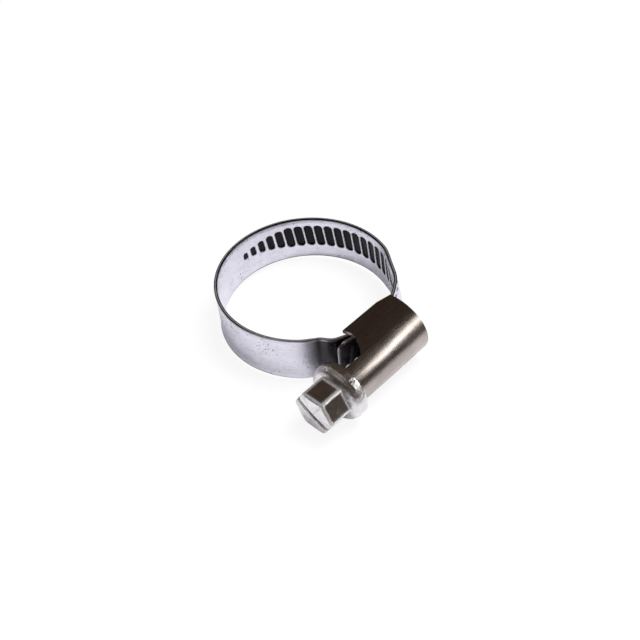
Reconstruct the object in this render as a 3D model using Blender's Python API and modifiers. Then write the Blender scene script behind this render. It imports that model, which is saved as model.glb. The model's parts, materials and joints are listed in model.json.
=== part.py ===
"""Worm-drive hose clamp with a 9 mm embossed band, set to a 30 mm hose.

The hose axis is Z and the origin is on it, half way up the band. The screw
lies along X at the -Y side of the ring, with its head toward -X.
Angles called psi start at -Y and grow toward -X, in degrees.
Lengths below are millimetres; meshes are made in metres.
"""
import math

import bmesh
import bpy
from mathutils import Matrix, Vector

MM = 0.001

# Band
BAND_WIDTH = 9.0
BAND_THICKNESS = 0.6
RING_RADIUS = 15.05  # inner face of the round part
HINGE_FIRST = 42.0  # first place where the band bends in this model
PLAIN_LENGTHS = 4  # lengths of band from there to the row of ribs
RIBS_PER_LENGTH = (4, 5, 4, 5)
BAND_GAP = 0.3  # between two neighbouring lengths of band
STEP_ANGLE = 3.5  # angle between outline points

# Stack of sheet and band under the screw, from the hose outward
SADDLE_INSET = 0.5  # saddle's hose face, inside the ring's inner face
SHEET = 0.65
SEAT_GAP = 0.1
TAIL_LIFT = 0.55  # free end over the fixed end, at its lowest point
TAIL_SHIFT = -1.0
TAIL_EXTRA = 1.85  # tail radius over ring radius
RAISED_EXTRA = 0.9  # fixed end's step out of the ring circle
SEAT_ANGLE = 9.0  # fixed end is flat on the saddle up to here
LIFT_ANGLE = 20.0  # and fully raised here
JOGGLE_START = 28.0
JOGGLE_END = 38.0
TAIL_JOIN_START = 59.0  # degrees before -Y where the tail leaves the ring
TAIL_JOIN_END = 35.0
TIP_REACH = 25.0  # tip's angle past the tail's lowest point
TIP_CORNER = 2.2

# Row of pressed ribs: hollow on the hose side, raised on the worm's side
PITCH = 1.95
RIB_WIDTH = 1.3  # at the outer face
RIB_CREST = 0.6
RIB_HEIGHT = 0.25
RIB_LENGTH = 4.9
HOLLOW_WIDTH = 1.35  # at the inner face
HOLLOW_FLOOR = 0.8
HOLLOW_DEPTH = 0.3
HOLLOW_LENGTH = 4.7
RIB_ROUND = 0.2
END_MARGIN = 0.05  # a rib cut by a length's end stops this short of it
ROW_OFFSET = 0.7  # row's middle above the band's middle
ROW_TAPER = 5  # ribs that run out at the end of the row
ROW_END = 178.0  # psi of the last, smallest rib

# Screw
WORM_RADIUS = 2.4
WORM_CORE = WORM_RADIUS - 0.55
THREAD_TIP = 0.35
THREAD_FOOT = 0.95
THREAD_BITE = 0.2
THREAD_LEAD = 0.1  # crest past mid-valley at this size, so flanks stay clear at both limits
NECK_RADIUS = WORM_CORE - 0.05
FLANGE_RADIUS = 5.1
FLANGE_RIM = 1.7
FLANGE_DOME = 1.1
HEX_FLATS = 7.0
HEX_HEIGHT = 4.8
HEX_CHAMFER = 0.9
HEX_TURN = 30.5  # a corner's angle from +Z toward -Y
SLOT_WIDTH = 1.0
SLOT_DEPTH = 1.3
SLOT_TURN = 118.0  # nearly from flat to flat
FLANGE_PLAY = 0.25

# Housing
SIDE_PLAY = 0.2
WORM_PLAY = 0.65
SHOULDER_DROP = 1.9  # straight side wall, from its hose edge down
HOUSING_FRONT = -11.4
HOUSING_BACK = 5.1
WALL_FRONT = -6.2
SADDLE_FRONT = -4.2
SADDLE_BACK = 2.2
BACK_CHAMFER = 0.6
FIXED_END_X = 1.0
LIP_THICKNESS = 0.7
LIP_PLAY = 0.35
TROUGH_DROP = 0.4  # trough's rim below the screw's axis
OVERCUT = 2.0

# Levels along -Y, all from the ring and the stack
SADDLE_IN = -(RING_RADIUS - SADDLE_INSET)
SADDLE_OUT = SADDLE_IN - SHEET
FIXED_IN = SADDLE_OUT - SEAT_GAP
FIXED_OUT = FIXED_IN - BAND_THICKNESS
TAIL_IN = FIXED_OUT - TAIL_LIFT
TAIL_OUT = TAIL_IN - BAND_THICKNESS
WORM_TOP = TAIL_OUT - RIB_HEIGHT + THREAD_BITE
SCREW_Y = WORM_TOP - WORM_RADIUS
TAIL_RADIUS = RING_RADIUS + TAIL_EXTRA
TAIL_CENTRE = (TAIL_SHIFT, TAIL_IN + TAIL_RADIUS)
PITCH_RADIUS = TAIL_RADIUS + BAND_THICKNESS + RIB_HEIGHT / 2
HALF_INSIDE = BAND_WIDTH / 2 + SIDE_PLAY
HALF_OUTSIDE = HALF_INSIDE + SHEET
SHOULDER_Y = SADDLE_IN - SHOULDER_DROP
HOUSING_BOTTOM = SCREW_Y - WORM_RADIUS - WORM_PLAY - SHEET
FLANGE_BACK = HOUSING_FRONT - FLANGE_PLAY
WORM_START = HOUSING_FRONT + LIP_THICKNESS + LIP_PLAY
WORM_END = HOUSING_BACK - 1.0


def clear_scene():
    for obj in list(bpy.data.objects):
        bpy.data.objects.remove(obj)


def make_collection(name):
    group = bpy.data.collections.new(name)
    bpy.context.scene.collection.children.link(group)
    return group


def make_material(name, colour, roughness, metallic=1.0):
    mat = bpy.data.materials.new(name)
    mat.use_nodes = True
    shader = mat.node_tree.nodes["Principled BSDF"]
    shader.inputs["Base Color"].default_value = (*colour, 1.0)
    shader.inputs["Roughness"].default_value = roughness
    shader.inputs["Metallic"].default_value = metallic
    return mat


def smooth_step(t):
    t = min(max(t, 0.0), 1.0)
    return t * t * (3.0 - 2.0 * t)


def direction(psi):
    a = math.radians(psi)
    return Vector((-math.sin(a), -math.cos(a)))


def fixed_radius(psi):
    """Inner face of the fixed end: flat on the saddle, then raised, then the ring."""
    raised = RING_RADIUS + RAISED_EXTRA
    flat = -FIXED_IN / math.cos(math.radians(min(psi, 60.0)))
    w = smooth_step((psi - SEAT_ANGLE) / (LIFT_ANGLE - SEAT_ANGLE))
    low = (1.0 - w) * flat + w * raised
    w = smooth_step((psi - JOGGLE_START) / (JOGGLE_END - JOGGLE_START))
    return (1.0 - w) * low + w * RING_RADIUS


def tail_radius(psi):
    """Distance from the hose axis to the tail arc's inner face."""
    d = direction(psi)
    c = d.x * TAIL_CENTRE[0] + d.y * TAIL_CENTRE[1]
    k = TAIL_CENTRE[0] ** 2 + TAIL_CENTRE[1] ** 2
    return c + math.sqrt(c * c - k + TAIL_RADIUS**2)


def moving_radius(psi):
    """Inner face of the band from the first hinge round to the free tip."""
    t = (psi - (360.0 - TAIL_JOIN_START)) / (TAIL_JOIN_START - TAIL_JOIN_END)
    w = smooth_step(t)
    return (1.0 - w) * RING_RADIUS + w * tail_radius(psi)


def inner_point(radius, psi):
    return direction(psi) * radius(psi)


def outward(radius, psi):
    a = inner_point(radius, psi - 0.2)
    b = inner_point(radius, psi + 0.2)
    t = (b - a).normalized()
    n = Vector((t.y, -t.x))
    return n if n.dot(direction(psi)) > 0 else -n


def neutral_point(radius, psi):
    return inner_point(radius, psi) + outward(radius, psi) * BAND_THICKNESS / 2


def tip_psi():
    a = math.radians(TIP_REACH)
    x = TAIL_CENTRE[0] - TAIL_RADIUS * math.sin(a)
    y = TAIL_CENTRE[1] - TAIL_RADIUS * math.cos(a)
    return 360.0 + math.degrees(math.atan2(-x, -y))


def fixed_start_psi():
    return -math.degrees(math.atan2(FIXED_END_X, -FIXED_IN))


def hinge_psis():
    """Even lengths up to the row, then whole numbers of ribs."""
    rows = [psi for psi, size in rib_stations()]
    row_start = rows[0] - (rows[1] - rows[0]) / 2
    step = (row_start - HINGE_FIRST) / PLAIN_LENGTHS
    hinges = [HINGE_FIRST + i * step for i in range(PLAIN_LENGTHS + 1)]
    index = 0
    for count in RIBS_PER_LENGTH:
        index += count
        hinges.append((rows[index - 1] + rows[index]) / 2)
    return hinges


def band_outline(radius, start, end):
    count = max(2, round((end - start) / STEP_ANGLE))
    psis = [start + (end - start) * i / count for i in range(count + 1)]
    inner = [inner_point(radius, p) for p in psis]
    outer = [inner_point(radius, p) + outward(radius, p) * BAND_THICKNESS for p in psis]
    return inner + outer[::-1]


def rib_stations():
    """psi and size of each rib, at equal pitch along the band from the tail's low point."""
    stations = []
    tail_step = math.degrees(PITCH / PITCH_RADIUS)
    angle = tail_step / 2  # a valley, not a rib, is at the tail's low point
    while angle + tail_step * 0.6 < TIP_REACH:
        x = TAIL_CENTRE[0] - TAIL_RADIUS * math.sin(math.radians(angle))
        y = TAIL_CENTRE[1] - TAIL_RADIUS * math.cos(math.radians(angle))
        stations.append(360.0 + math.degrees(math.atan2(-x, -y)))
        angle += tail_step
    stations.sort()
    psi = stations[0]
    low = []
    spacing = PITCH * (TAIL_RADIUS + BAND_THICKNESS / 2) / PITCH_RADIUS
    last = neutral_point(moving_radius, psi)
    travelled = 0.0
    step = 0.25
    while psi > ROW_END:
        psi -= step
        here = neutral_point(moving_radius, psi)
        moved = (here - last).length
        travelled += moved
        last = here
        if travelled >= spacing:
            travelled -= spacing
            low.append(psi + step * travelled / moved)
    psis = low[::-1] + stations
    rows = []
    for i, p in enumerate(psis):
        size = min(1.0, 0.35 + 0.65 * i / ROW_TAPER)
        rows.append((p, size))
    return rows


def link_mesh(name, mesh, group):
    obj = bpy.data.objects.new(name, mesh)
    group.objects.link(obj)
    return obj


def extruded(name, loops, low, high, group, frame=None):
    """Flat outline in XY extruded from low to high along Z, then turned by frame."""
    curve = bpy.data.curves.new(name, "CURVE")
    curve.dimensions = "2D"
    curve.fill_mode = "BOTH"
    curve.extrude = (high - low) / 2 * MM
    for points in loops:
        spline = curve.splines.new("POLY")
        spline.points.add(len(points) - 1)
        for point, (x, y) in zip(spline.points, points):
            point.co = (x * MM, y * MM, 0.0, 1.0)
        spline.use_cyclic_u = True
    holder = link_mesh(name + "_curve", curve, group)
    bpy.context.view_layer.update()
    depsgraph = bpy.context.evaluated_depsgraph_get()
    mesh = bpy.data.meshes.new_from_object(holder.evaluated_get(depsgraph))
    bpy.data.objects.remove(holder)
    bm = bmesh.new()
    bm.from_mesh(mesh)
    bmesh.ops.remove_doubles(bm, verts=bm.verts, dist=0.000001)
    bmesh.ops.translate(bm, verts=bm.verts, vec=(0.0, 0.0, (low + high) / 2 * MM))
    if frame is not None:
        bmesh.ops.transform(bm, matrix=frame, verts=bm.verts)
    bmesh.ops.recalc_face_normals(bm, faces=bm.faces)
    bm.to_mesh(mesh)
    bm.free()
    mesh.name = name
    return link_mesh(name, mesh, group)


def turned(name, profile, group, steps=40):
    """Closed solid turned about the screw's axis from (x, radius) pairs, both ends on the axis."""
    mesh = bpy.data.meshes.new(name)
    bm = bmesh.new()
    verts = [bm.verts.new((x * MM, r * MM, 0.0)) for x, r in profile]
    for a, b in zip(verts, verts[1:]):
        bm.edges.new((a, b))
    bm.to_mesh(mesh)
    bm.free()
    obj = link_mesh(name, mesh, group)
    screw = obj.modifiers.new("turn", "SCREW")
    screw.axis = "X"
    screw.steps = steps
    screw.render_steps = steps
    screw.use_merge_vertices = True
    screw.merge_threshold = 0.000005
    return solidified(obj, group)


def solidified(obj, group):
    """Replace obj by its evaluated mesh, with welded ends and outward faces."""
    bpy.context.view_layer.update()
    depsgraph = bpy.context.evaluated_depsgraph_get()
    mesh = bpy.data.meshes.new_from_object(obj.evaluated_get(depsgraph))
    name = obj.name
    bpy.data.objects.remove(obj)
    bm = bmesh.new()
    bm.from_mesh(mesh)
    bmesh.ops.remove_doubles(bm, verts=bm.verts, dist=0.000002)
    open_edges = [e for e in bm.edges if e.is_boundary]
    if open_edges:
        bmesh.ops.holes_fill(bm, edges=open_edges, sides=0)
    bmesh.ops.recalc_face_normals(bm, faces=bm.faces)
    bm.to_mesh(mesh)
    bm.free()
    mesh.name = name
    return link_mesh(name, mesh, group)


def as_cutter(obj):
    obj.hide_render = True
    obj.display_type = "WIRE"
    return obj


def cut(obj, tool, operation="DIFFERENCE"):
    mod = obj.modifiers.new(operation.lower(), "BOOLEAN")
    mod.operation = operation
    mod.solver = "EXACT"
    mod.object = tool
    return mod


def finish(obj, mat, origin=(0.0, 0.0, 0.0), angle=30.0):
    """Origin to its joint, one material, smooth faces with sharp corners kept."""
    obj.data.materials.clear()
    obj.data.materials.append(mat)
    shift = Vector(origin) * MM
    obj.data.transform(Matrix.Translation(-shift))
    obj.location = shift
    obj.data.shade_smooth()
    obj.data.set_sharp_from_angle(angle=math.radians(angle))


def pressed_blocks(name, rows, group, low, high, ends=()):
    """Slanted round-cornered blocks; low and high are (level, width, length) above the inner face."""
    bm = bmesh.new()
    slope = PITCH / (2 * math.pi * WORM_RADIUS)
    for psi, size in rows:
        made = bmesh.ops.create_cube(bm, size=1.0)["verts"]
        tall = {e for v in made for e in v.link_edges
                if abs(e.verts[0].co.z - e.verts[1].co.z) > 0.5}
        for vert in made:
            level, width, length = high if vert.co.z > 0 else low
            width *= 0.5 + 0.5 * size
            vert.co = (vert.co.x * width * MM, vert.co.y * length * size * MM, level * MM)
        done = bmesh.ops.bevel(bm, geom=list(tall), affect="EDGES", offset=RIB_ROUND * size * MM,
                               segments=2, profile=0.5, material=-1)
        made = list({v for f in done["faces"] for v in f.verts} | {v for v in made if v.is_valid})
        foot = inner_point(moving_radius, psi)
        n = outward(moving_radius, psi)
        z_axis = Vector((n.x, n.y, 0.0))
        y_axis = Vector((0.0, 0.0, 1.0))
        x_axis = y_axis.cross(z_axis)
        lean = Matrix.Identity(4)
        lean[0][1] = slope
        turn = Matrix((x_axis, y_axis, z_axis)).transposed().to_4x4()
        place = Matrix.Translation(Vector((foot.x, foot.y, ROW_OFFSET)) * MM)
        bmesh.ops.transform(bm, matrix=place @ turn @ lean, verts=made)
    for psi, sign in ends:
        trim_at(bm, psi, sign)
    bmesh.ops.recalc_face_normals(bm, faces=bm.faces)
    mesh = bpy.data.meshes.new(name)
    bm.to_mesh(mesh)
    bm.free()
    return as_cutter(link_mesh(name, mesh, group))


def trim_at(bm, psi, sign):
    """Cut everything beyond a length's end off and close what was cut."""
    place = inner_point(moving_radius, psi)
    n = outward(moving_radius, psi)
    beyond = Vector((-n.y, n.x, 0.0))
    ahead = inner_point(moving_radius, psi + sign) - place
    if beyond.dot(Vector((ahead.x, ahead.y, 0.0))) < 0:
        beyond = -beyond
    co = Vector((place.x, place.y, 0.0)) - beyond * END_MARGIN
    whole = list(bm.verts) + list(bm.edges) + list(bm.faces)
    done = bmesh.ops.bisect_plane(bm, geom=whole, dist=0.0000001, plane_co=co * MM,
                                  plane_no=beyond, clear_outer=True)
    edges = [g for g in done["geom_cut"] if isinstance(g, bmesh.types.BMEdge)]
    bmesh.ops.edgeloop_fill(bm, edges=edges)


def raised_ribs(name, rows, group, ends):
    root = 0.2  # depth sunk into the band
    spread = (RIB_WIDTH - RIB_CREST) / RIB_HEIGHT * root
    low = (BAND_THICKNESS - root, RIB_WIDTH + spread, RIB_LENGTH + spread)
    high = (BAND_THICKNESS + RIB_HEIGHT, RIB_CREST, RIB_LENGTH - RIB_WIDTH + RIB_CREST)
    return pressed_blocks(name, rows, group, low, high, ends)


def hollows(name, rows, group):
    over = 0.15
    spread = (HOLLOW_WIDTH - HOLLOW_FLOOR) / HOLLOW_DEPTH * over
    low = (-over, HOLLOW_WIDTH + spread, HOLLOW_LENGTH + spread)
    high = (HOLLOW_DEPTH, HOLLOW_FLOOR, HOLLOW_LENGTH - HOLLOW_WIDTH + HOLLOW_FLOOR)
    return pressed_blocks(name, rows, group, low, high)


def band_piece(name, radius, start, end, group, cutters, mat, origin, rows=()):
    half = BAND_WIDTH / 2
    outline = [(p.x, p.y) for p in band_outline(radius, start, end)]
    obj = extruded(name, [outline], -half, half, group)
    finish(obj, mat, (origin[0], origin[1], 0.0))
    inside = [row for row in rows if start < row[0] < end]
    if inside:
        ends = ((start, -1), (end, 1))
        cut(obj, raised_ribs(name + "_ribs", inside, cutters, ends), "UNION")
        cut(obj, hollows(name + "_hollows", inside, cutters))
    return obj


def tip_cutter(group):
    """Two blocks with a round inner face that round the tip's corners."""
    psi = tip_psi()
    end = inner_point(moving_radius, psi)
    n = outward(moving_radius, psi)
    along = Vector((-n.y, n.x))
    if along.dot(inner_point(moving_radius, psi) - inner_point(moving_radius, psi - 1)) < 0:
        along = -along
    half = BAND_WIDTH / 2
    r = TIP_CORNER
    loops = []
    for side in (1, -1):
        arc = []
        for i in range(7):
            a = math.radians(15.0 * i)
            arc.append((-r + r * math.cos(a), side * (half - r + r * math.sin(a))))
        arc.append((-r, side * (half + OVERCUT)))
        arc.append((OVERCUT, side * (half + OVERCUT)))
        arc.append((OVERCUT, side * (half - r)))
        loops.append(arc)
    x_axis = Vector((along.x, along.y, 0.0))
    z_axis = Vector((n.x, n.y, 0.0))
    y_axis = z_axis.cross(x_axis)
    turn = Matrix((x_axis, y_axis, z_axis)).transposed().to_4x4()
    frame = Matrix.Translation(Vector((end.x, end.y, 0.0)) * MM) @ turn
    low, high = -OVERCUT, BAND_THICKNESS + OVERCUT
    return as_cutter(extruded("tip_cutter", loops, low, high, group, frame))


def build_band(group, cutters, mat):
    hinges = hinge_psis()
    rows = rib_stations()
    half_gap = math.degrees(BAND_GAP / 2 / RING_RADIUS)
    first = hinges[0]
    band_piece("band_fixed_end", fixed_radius, fixed_start_psi(), first - half_gap,
               group, cutters, mat, (0.0, 0.0))
    for i, (a, b) in enumerate(zip(hinges, hinges[1:])):
        pivot = neutral_point(moving_radius, a)
        band_piece("band_arc_%d" % (i + 1), moving_radius, a + half_gap, b - half_gap,
                   group, cutters, mat, pivot, rows)
    last = hinges[-1]
    pivot = neutral_point(moving_radius, last)
    tail = band_piece("band_free_end", moving_radius, last + half_gap, tip_psi(),
                      group, cutters, mat, pivot, rows)
    cut(tail, tip_cutter(cutters))


def housing_outline(inset):
    """Half-round outside with straight sides that end at the saddle, as (y, z) points."""
    half = HALF_OUTSIDE - inset
    drop = SHOULDER_Y - HOUSING_BOTTOM - inset
    top = SADDLE_IN - inset
    points = [(top, half)]
    count = 28
    for i in range(count + 1):
        a = math.pi * i / count
        points.append((SHOULDER_Y - drop * math.sin(a), half * math.cos(a)))
    points.append((top, -half))
    return points


def facing_x():
    """Turns an outline of (y, z) points to face X."""
    return Matrix(((0, 0, 1, 0), (1, 0, 0, 0), (0, 1, 0, 0), (0, 0, 0, 1)))


def box(name, low, high, group):
    mesh = bpy.data.meshes.new(name)
    bm = bmesh.new()
    bmesh.ops.create_cube(bm, size=1.0)
    size = [h - l for l, h in zip(low, high)]
    mid = [(h + l) / 2 for l, h in zip(low, high)]
    bmesh.ops.scale(bm, vec=Vector(size) * MM, verts=bm.verts)
    bmesh.ops.translate(bm, vec=Vector(mid) * MM, verts=bm.verts)
    bm.to_mesh(mesh)
    bm.free()
    return link_mesh(name, mesh, group)


def rod(name, radius, x0, x1, group, segments=32, turn=0.0):
    """Cylinder or prism along X on the screw's axis, its corners counted from Y."""
    mesh = bpy.data.meshes.new(name)
    bm = bmesh.new()
    bmesh.ops.create_cone(bm, cap_ends=True, segments=segments, radius1=radius * MM,
                          radius2=radius * MM, depth=(x1 - x0) * MM)
    spin = Matrix.Rotation(math.radians(turn), 4, "X")
    lay = Matrix.Rotation(math.radians(90.0), 4, "Y")
    place = Matrix.Translation(Vector(((x0 + x1) / 2, SCREW_Y, 0.0)) * MM)
    bmesh.ops.transform(bm, matrix=place @ spin @ lay, verts=bm.verts)
    bm.to_mesh(mesh)
    bm.free()
    return link_mesh(name, mesh, group)


def window_outline():
    """Opening over the trough at the head end, in XY, with its arched rear rim."""
    rim = SCREW_Y - TROUGH_DROP
    top = SADDLE_IN + OVERCUT
    count = 10
    points = [(HOUSING_FRONT - OVERCUT, rim), (HOUSING_FRONT - OVERCUT, top)]
    points.append((WALL_FRONT, top))
    for i in range(count + 1):
        t = i / count
        y = SADDLE_IN + (rim - SADDLE_IN) * t
        x = WALL_FRONT + 0.4 * math.sin(math.pi * min(t * 1.6, 1.0)) - 1.6 * max(0.0, t - 0.4) ** 2 / 0.36
        points.append((x, y))
    return points


def build_housing(group, cutters, mat):
    outer = housing_outline(0.0)
    inner = housing_outline(SHEET)
    shell = extruded("housing", [outer, inner],
                     HOUSING_FRONT, HOUSING_BACK, group, facing_x())
    lip_end = HOUSING_FRONT + LIP_THICKNESS
    middle = housing_outline(SHEET / 2)
    lip = as_cutter(extruded("lip_blank", [middle], HOUSING_FRONT, lip_end,
                             cutters, facing_x()))
    cut(shell, lip, "UNION")
    neck = rod("neck_cutter", NECK_RADIUS + LIP_PLAY, HOUSING_FRONT - OVERCUT,
               lip_end + OVERCUT, cutters)
    cut(shell, as_cutter(neck))
    window = extruded("window_cutter", [window_outline()], -HALF_OUTSIDE - OVERCUT,
                      HALF_OUTSIDE + OVERCUT, cutters)
    cut(shell, as_cutter(window))
    floor_low = SADDLE_OUT - SEAT_GAP
    front = box("saddle_front_cutter", (HOUSING_FRONT - OVERCUT, floor_low, -HALF_INSIDE),
                (SADDLE_FRONT, SADDLE_IN + OVERCUT, HALF_INSIDE), cutters)
    cut(shell, as_cutter(front))
    back = box("saddle_back_cutter", (SADDLE_BACK, floor_low, -HALF_INSIDE),
               (HOUSING_BACK + OVERCUT, SADDLE_IN + OVERCUT, HALF_INSIDE), cutters)
    cut(shell, as_cutter(back))
    low = SADDLE_IN - BACK_CHAMFER
    corner = [(SADDLE_BACK, SADDLE_IN), (HOUSING_BACK, low), (HOUSING_BACK + OVERCUT, low),
              (HOUSING_BACK + OVERCUT, SADDLE_IN + OVERCUT), (SADDLE_BACK, SADDLE_IN + OVERCUT)]
    chamfer = extruded("corner_cutter", [corner], -HALF_OUTSIDE - OVERCUT,
                       HALF_OUTSIDE + OVERCUT, cutters)
    cut(shell, as_cutter(chamfer))
    finish(shell, mat)


def screw_profile():
    """Flange dome, flange rim, neck and worm core from the head side to the worm's end."""
    rim_front = FLANGE_BACK - FLANGE_RIM
    top = rim_front - FLANGE_DOME
    points = [(top - 0.3, 0.0), (top - 0.3, HEX_FLATS / 2 - 0.3)]
    for i in range(7):
        a = math.radians(15.0 * i)
        r = HEX_FLATS / 2 - 0.3 + (FLANGE_RADIUS - HEX_FLATS / 2 + 0.3) * math.sin(a)
        points.append((rim_front - FLANGE_DOME * math.cos(a), r))
    points += [(FLANGE_BACK - 0.2, FLANGE_RADIUS), (FLANGE_BACK, FLANGE_RADIUS - 0.2)]
    points += [(FLANGE_BACK, NECK_RADIUS), (WORM_START, NECK_RADIUS)]
    points += [(WORM_START, WORM_CORE), (WORM_END - 0.4, WORM_CORE)]
    points += [(WORM_END, WORM_CORE - 0.4), (WORM_END, 0.0)]
    return points


def thread_ridge(group):
    """Right-hand trapezoid ridge wound round the worm's core."""
    steps = 20
    start = WORM_START + THREAD_FOOT / 2 + 0.1
    end = WORM_END - THREAD_FOOT / 2 - 0.4
    turns = (end - start) / PITCH
    foot = WORM_CORE - 0.25
    count = int(turns * steps)
    # A crest faces the tail (+Y) at the tail's lowest point.
    phase = (start - TAIL_SHIFT - THREAD_LEAD) / PITCH * 2 * math.pi
    section = [(-THREAD_FOOT / 2, foot), (-THREAD_TIP / 2, WORM_RADIUS),
               (THREAD_TIP / 2, WORM_RADIUS), (THREAD_FOOT / 2, foot)]
    bm = bmesh.new()
    verts = []
    for dx, r in section:
        c, s = math.cos(phase), math.sin(phase)
        verts.append(bm.verts.new(((start + dx) * MM, r * c * MM, r * s * MM)))
    edges = [bm.edges.new((verts[i], verts[(i + 1) % 4])) for i in range(4)]
    first = bm.faces.new(verts)
    ring = edges
    for i in range(count):
        made = bmesh.ops.extrude_edge_only(bm, edges=ring)["geom"]
        moved = [g for g in made if isinstance(g, bmesh.types.BMVert)]
        turn = Matrix.Rotation(2 * math.pi / steps, 4, "X")
        shift = Matrix.Translation((PITCH / steps * MM, 0.0, 0.0))
        bmesh.ops.transform(bm, matrix=shift @ turn, verts=moved)
        ring = [g for g in made if isinstance(g, bmesh.types.BMEdge)
                and g.verts[0] in moved and g.verts[1] in moved]
    bmesh.ops.contextual_create(bm, geom=ring)
    bmesh.ops.triangulate(bm, faces=bm.faces)
    bmesh.ops.recalc_face_normals(bm, faces=bm.faces)
    bmesh.ops.translate(bm, verts=bm.verts, vec=(0.0, SCREW_Y * MM, 0.0))
    mesh = bpy.data.meshes.new("thread_ridge")
    bm.to_mesh(mesh)
    bm.free()
    return as_cutter(link_mesh("thread_ridge", mesh, group))


def hex_head(group):
    """Hexagon with a domed end that chamfers its corners."""
    seat = FLANGE_BACK - FLANGE_RIM - FLANGE_DOME
    end = seat - HEX_HEIGHT
    radius = HEX_FLATS / math.sqrt(3)
    head = rod("hex_head", radius, end, seat + 0.5, group, segments=6, turn=HEX_TURN + 30.0)
    reach = radius + 0.4
    profile = [(seat + 1.0, 0.0), (seat + 1.0, reach), (end + HEX_CHAMFER + 0.2, reach)]
    for i in range(1, 7):
        r = reach * (1.0 - i / 6)
        fall = HEX_CHAMFER * (1.0 - (r / radius) ** 2)
        profile.append((end + HEX_CHAMFER - fall, r))
    dome = turned("hex_dome", profile, group, steps=48)
    dome.location = (0.0, SCREW_Y * MM, 0.0)
    cut(head, as_cutter(dome), "INTERSECT")
    return as_cutter(head), end


def build_screw(group, cutters, mat):
    body = turned("worm_screw", screw_profile(), group, steps=48)
    body.data.transform(Matrix.Translation((0.0, SCREW_Y * MM, 0.0)))
    head, end = hex_head(cutters)
    cut(body, head, "UNION")
    cut(body, thread_ridge(cutters), "UNION")
    reach = HEX_FLATS
    slot = box("slot_cutter", (end - OVERCUT, -SLOT_WIDTH / 2, -reach),
               (end + SLOT_DEPTH, SLOT_WIDTH / 2, reach), cutters)
    slot.data.transform(Matrix.Rotation(math.radians(SLOT_TURN), 4, "X"))
    slot.data.transform(Matrix.Translation((0.0, SCREW_Y * MM, 0.0)))
    cut(body, as_cutter(slot))
    finish(body, mat, (0.0, SCREW_Y, 0.0))


def main():
    clear_scene()
    group = make_collection("hose_clamp")
    cutters = make_collection("cutters")
    band_steel = make_material("band_steel", (0.62, 0.61, 0.66), 0.3)
    housing_steel = make_material("housing_steel", (0.16, 0.13, 0.12), 0.25)
    screw_zinc = make_material("screw_zinc", (0.7, 0.7, 0.72), 0.3)
    build_band(group, cutters, band_steel)
    build_housing(group, cutters, housing_steel)
    build_screw(group, cutters, screw_zinc)


main()
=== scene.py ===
"""Finished looks of a worm-drive hose clamp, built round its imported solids.

The hose axis is Z and the origin is on it, half way up the band. The screw
lies along X at the -Y side of the ring, with its head toward -X.
Angles called psi start at -Y and grow toward -X, in degrees.
"""
import json
import math

import bmesh
import bpy
import numpy as np
from bpy.props import FloatProperty, FloatVectorProperty, PointerProperty
from mathutils import Matrix, Vector


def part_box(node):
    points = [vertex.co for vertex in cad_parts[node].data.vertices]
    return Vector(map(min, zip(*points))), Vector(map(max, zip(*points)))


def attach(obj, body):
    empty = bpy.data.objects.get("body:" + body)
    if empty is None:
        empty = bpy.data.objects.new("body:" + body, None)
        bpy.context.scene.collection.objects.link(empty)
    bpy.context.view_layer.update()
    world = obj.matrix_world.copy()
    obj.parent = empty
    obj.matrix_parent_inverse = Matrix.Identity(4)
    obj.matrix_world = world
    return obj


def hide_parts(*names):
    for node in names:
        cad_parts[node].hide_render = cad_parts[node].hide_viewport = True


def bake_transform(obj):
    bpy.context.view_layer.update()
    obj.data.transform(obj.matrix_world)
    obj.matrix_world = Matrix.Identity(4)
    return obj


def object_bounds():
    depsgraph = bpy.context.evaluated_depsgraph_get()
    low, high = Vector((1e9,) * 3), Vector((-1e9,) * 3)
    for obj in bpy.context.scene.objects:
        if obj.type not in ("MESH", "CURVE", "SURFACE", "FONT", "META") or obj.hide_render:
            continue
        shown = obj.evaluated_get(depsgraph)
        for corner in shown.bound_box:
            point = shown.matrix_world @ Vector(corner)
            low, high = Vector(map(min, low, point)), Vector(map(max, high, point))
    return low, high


bl_info = {
    "name": "Hose clamp",
    "version": (1, 0, 0),
    "blender": (4, 5, 0),
    "location": "3D View > Sidebar > Hose clamp",
    "description": "Builds the band, housing, screw and stage of a worm-drive hose clamp",
    "category": "Object",
}

MM = 0.001
WELD = 0.002 * MM  # points closer than this are one
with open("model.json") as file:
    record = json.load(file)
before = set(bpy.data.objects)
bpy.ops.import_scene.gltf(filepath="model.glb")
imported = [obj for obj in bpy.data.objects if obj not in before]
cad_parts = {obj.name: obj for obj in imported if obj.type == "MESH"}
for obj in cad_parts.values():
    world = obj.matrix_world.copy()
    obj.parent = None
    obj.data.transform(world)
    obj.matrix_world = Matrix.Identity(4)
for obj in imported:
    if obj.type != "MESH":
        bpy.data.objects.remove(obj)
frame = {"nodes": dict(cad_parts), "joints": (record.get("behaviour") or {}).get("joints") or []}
CAD_LOW, CAD_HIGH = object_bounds()

# The band's line, as the solids have it
RING_RADIUS = 15.05 * MM  # inner face of the round part
BAND_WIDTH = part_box("band_fixed_end")[1].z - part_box("band_fixed_end")[0].z
FIXED_IN = -15.3 * MM  # hose face of the fixed end on the saddle
FIXED_END_X = 1.0 * MM
RAISED_EXTRA = 0.9 * MM  # the fixed end's step out of the ring's circle
SEAT_ANGLE, LIFT_ANGLE = 9.0, 20.0  # psi where it leaves the saddle and is fully raised
JOGGLE_START, JOGGLE_END = 28.0, 38.0  # psi where it steps back to the ring
FIXED_LIMIT = 42.0  # psi past which the band is on the ring
TAIL_CENTRE = Vector((-1.0, 0.45)) * MM
TAIL_RADIUS = 16.9 * MM
TAIL_LEAVES, TAIL_JOINS = 301.0, 325.0  # psi where the free part leaves the ring for its own arc
TAIL_START = 318.0  # psi where the free end begins
TIP_REACH = 25.0  # tip's angle past the tail's lowest point
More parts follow.
